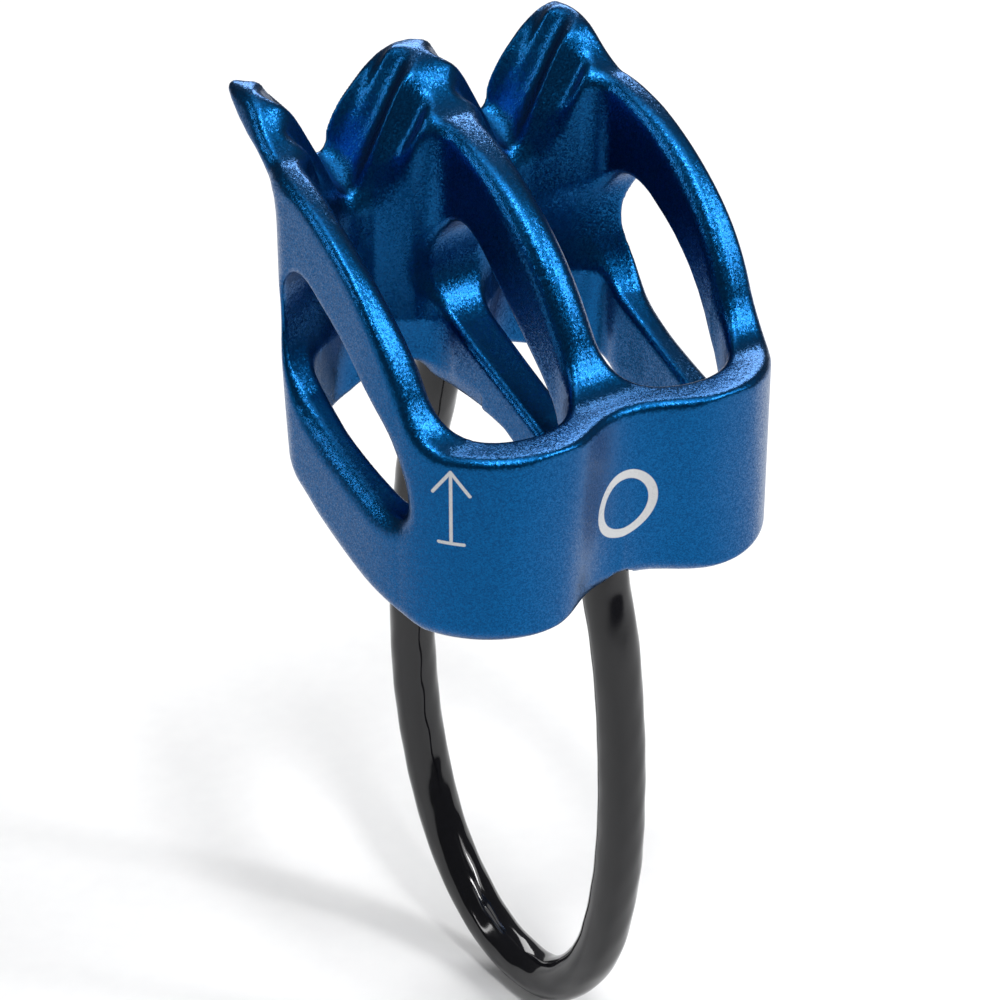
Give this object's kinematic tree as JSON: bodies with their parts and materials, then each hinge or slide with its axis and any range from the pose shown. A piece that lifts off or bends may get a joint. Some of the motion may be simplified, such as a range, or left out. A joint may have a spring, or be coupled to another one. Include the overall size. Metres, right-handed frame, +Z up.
{
  "type": "belay device",
  "caption": "Tube-style rope brake: forged body with two V-notched rope slots, pierced side walls and web, and a sheathed wire keeper loop below.",
  "frame": {"origin": "on the mirror plane between the two rope slots, at the middle of the depth of the object's box and at its foot, the lowest point of the hanging keeper loop", "axes": "+X across the two slots, +Y towards the tall notched friction side, +Z up from the keeper loop towards the rope entry"},
  "size_m": [0.0462, 0.044, 0.1071],
  "materials": {
    "anodised": "blue anodised over a bead-blasted surface, satin",
    "sheath": "glossy black extruded plastic",
    "wire": "drawn galvanised wire",
    "swage": "pressed steel"
  },
  "bodies": {
    "device": {"body": "anodised", "front_ferrule": "swage", "front_wire_end": "wire", "front_sheath_end": "sheath", "rear_ferrule": "swage", "rear_wire_end": "wire", "rear_sheath_end": "sheath"},
    "loop": {"loop_sheath": "sheath", "loop_strand_centre": "wire", "loop_strand_1": "wire", "loop_strand_2": "wire", "loop_strand_3": "wire", "loop_strand_4": "wire", "loop_strand_5": "wire", "loop_strand_6": "wire"}
  },
  "joints": [
    {"name": "loop_swing", "type": "hinge", "parent": "device", "child": "loop", "pos_m": [0, -0.0156, 0.0596], "axis": [0, 0.9315, 0.3639], "range_deg": [-40, 40], "stiffness_Nm_per_rad": 0.03}
  ]
}
